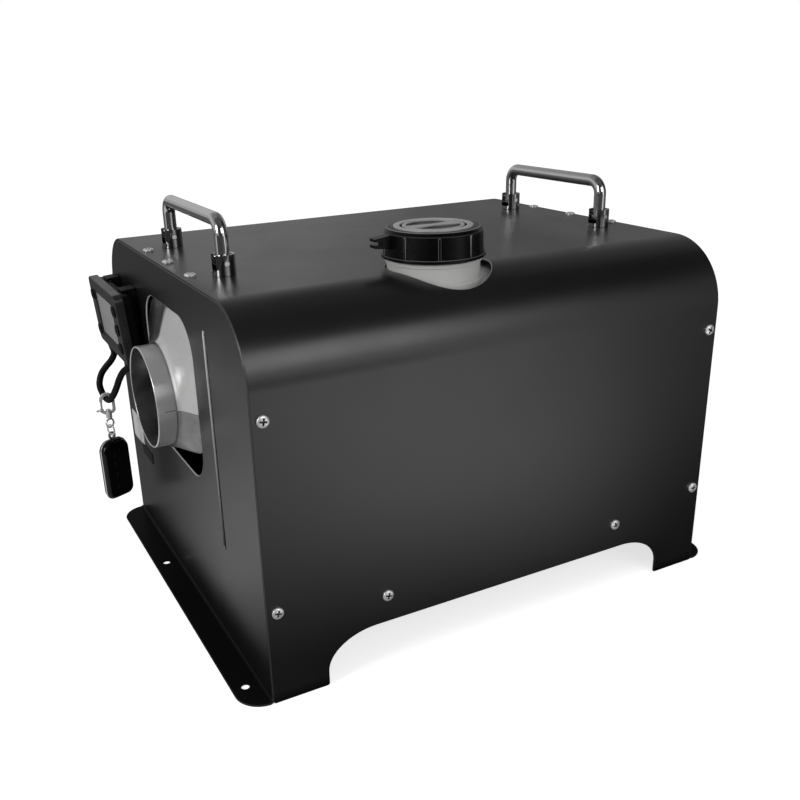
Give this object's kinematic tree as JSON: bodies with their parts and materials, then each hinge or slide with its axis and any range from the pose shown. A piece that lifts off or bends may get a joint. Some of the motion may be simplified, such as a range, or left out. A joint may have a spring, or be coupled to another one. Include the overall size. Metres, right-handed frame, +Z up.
{
  "type": "portable air heater",
  "caption": "Portable fuel-burning air heater in a folded sheet case with a filler cap, folding handles, a round hot-air outlet and a wired controller.",
  "frame": {"origin": "on the ground, under the middle of the object", "axes": "+X from the hot-air outlet end to the air intake end, +Y from the front, where the filler cap is, to the back, +Z up"},
  "size_m": [0.4291, 0.3336, 0.3007],
  "materials": {
    "case_paint": "satin black powder coat",
    "tank_plastic": "natural translucent white",
    "cap_plastic": "black",
    "casing_metal": "satin grey",
    "duct_metal": "satin grey",
    "dark_plastic": "black",
    "cast_alloy": "as cast",
    "steel": "bright",
    "chrome": "polished",
    "rubber": "black",
    "controller_plastic": "mid grey",
    "screen": "light grey",
    "remote_plastic": "black",
    "hose": "dark green"
  },
  "bodies": {
    "case": {"top_cover": "case_paint", "left_end_panel": "case_paint", "right_end_panel": "case_paint", "floor_tray": "case_paint", "fuel_tank": "tank_plastic", "tank_outlet": "steel", "heater_upper_shell": "casing_metal", "heater_lower_shell": "casing_metal", "outlet_duct": "duct_metal", "intake_grille": "dark_plastic", "heat_exchanger": "cast_alloy", "blower_motor": "steel", "heater_stand": "steel", "base_gasket": "rubber", "combustion_intake_pipe": "steel", "exhaust_pipe": "steel", "fuel_pump": "steel", "pump_clamp": "rubber", "pump_hose_in": "hose", "pump_hose_out": "hose", "control_module": "cast_alloy", "left_handle_front_post": "chrome", "left_handle_front_pin": "steel", "left_handle_rear_post": "chrome", "left_handle_rear_pin": "steel", "right_handle_front_post": "chrome", "right_handle_front_pin": "steel", "right_handle_rear_post": "chrome", "right_handle_rear_pin": "steel", "controller_bracket": "dark_plastic", "controller_rear_shell": "dark_plastic", "controller_bezel": "controller_plastic", "controller_screen": "screen", "lead_grommet": "rubber", "controller_lead": "rubber"},
    "blower_rotor": {"motor_shaft": "steel", "circulation_fan": "dark_plastic", "combustion_fan": "dark_plastic"},
    "left_handle": {"left_handle_bail": "chrome"},
    "right_handle": {"right_handle_bail": "chrome"},
    "cap_seal": {"cap_seal": "rubber"},
    "filler_cap": {"filler_cap": "cap_plastic"},
    "controller_button_1": {"controller_button_1": "rubber"},
    "controller_button_2": {"controller_button_2": "rubber"},
    "controller_button_3": {"controller_button_3": "rubber"},
    "controller_button_4": {"controller_button_4": "rubber"},
    "controller_button_5": {"controller_button_5": "rubber"},
    "clasp": {"clasp_body": "chrome"},
    "clasp_lever": {"clasp_lever": "chrome"},
    "remote": {"clasp_swivel": "chrome", "fob_ring": "chrome", "fob_front_shell": "remote_plastic", "fob_trim": "chrome", "fob_rear_shell": "remote_plastic"},
    "fob_button_1": {"fob_button_1": "rubber"},
    "fob_button_2": {"fob_button_2": "rubber"},
    "fob_button_3": {"fob_button_3": "rubber"},
    "fob_button_4": {"fob_button_4": "rubber"}
  },
  "joints": [
    {"name": "blower_spin", "type": "hinge", "parent": "case", "child": "blower_rotor", "pos_m": [0.12032, 0, 0.18], "axis": [1, 0, 0], "continuous": true},
    {"name": "left_handle_fold", "type": "hinge", "parent": "case", "child": "left_handle", "pos_m": [-0.14678, 0, 0.2694], "axis": [0, -1, 0], "range_deg": [0, 90]},
    {"name": "right_handle_fold", "type": "hinge", "parent": "case", "child": "right_handle", "pos_m": [0.16802, 0, 0.2694], "axis": [0, -1, 0], "range_deg": [0, 90]},
    {"name": "cap_lift", "type": "slide", "parent": "case", "child": "cap_seal", "axis": [0, 0, 1], "range_m": [0, 0.0121]},
    {"name": "cap_turn", "type": "hinge", "parent": "cap_seal", "child": "filler_cap", "pos_m": [-0.01808, -0.1124, 0.278], "axis": [0, 0, 1], "range_deg": [0, 360]},
    {"name": "controller_button_1_press", "type": "slide", "parent": "case", "child": "controller_button_1", "axis": [0.9975, 0, 0.0705], "range_m": [0, 0.001], "stiffness_N_per_m": 500},
    {"name": "controller_button_2_press", "type": "slide", "parent": "case", "child": "controller_button_2", "axis": [0.9975, 0, 0.0705], "range_m": [0, 0.001], "stiffness_N_per_m": 500},
    {"name": "controller_button_3_press", "type": "slide", "parent": "case", "child": "controller_button_3", "axis": [0.9975, 0, 0.0705], "range_m": [0, 0.001], "stiffness_N_per_m": 500},
    {"name": "controller_button_4_press", "type": "slide", "parent": "case", "child": "controller_button_4", "axis": [0.9975, 0, 0.0705], "range_m": [0, 0.001], "stiffness_N_per_m": 500},
    {"name": "controller_button_5_press", "type": "slide", "parent": "case", "child": "controller_button_5", "axis": [0.9975, 0, 0.0705], "range_m": [0, 0.001], "stiffness_N_per_m": 500},
    {"name": "clasp_swing", "type": "hinge", "parent": "case", "child": "clasp", "pos_m": [-0.20068, 0.1237, 0.128], "axis": [0, 1, 0], "range_deg": [-5, 80]},
    {"name": "clasp_lever_press", "type": "hinge", "parent": "clasp", "child": "clasp_lever", "pos_m": [-0.20578, 0.1237, 0.1183], "axis": [0, 1, 0], "range_deg": [0, 25], "stiffness_Nm_per_rad": 0.02},
    {"name": "remote_swivel", "type": "hinge", "parent": "clasp", "child": "remote", "pos_m": [-0.20068, 0.1237, 0.117], "axis": [0, 0, 1], "continuous": true},
    {"name": "fob_button_1_press", "type": "slide", "parent": "remote", "child": "fob_button_1", "axis": [-0.4226, 0.9063, 0], "range_m": [0, 0.0004], "stiffness_N_per_m": 500},
    {"name": "fob_button_2_press", "type": "slide", "parent": "remote", "child": "fob_button_2", "axis": [-0.4226, 0.9063, 0], "range_m": [0, 0.0004], "stiffness_N_per_m": 500},
    {"name": "fob_button_3_press", "type": "slide", "parent": "remote", "child": "fob_button_3", "axis": [-0.4226, 0.9063, 0], "range_m": [0, 0.0004], "stiffness_N_per_m": 500},
    {"name": "fob_button_4_press", "type": "slide", "parent": "remote", "child": "fob_button_4", "axis": [-0.4226, 0.9063, 0], "range_m": [0, 0.0004], "stiffness_N_per_m": 500}
  ],
  "couplings": [
    {"joint": "cap_lift", "follows": "cap_turn", "m_per_rad": 0.0019099}
  ]
}
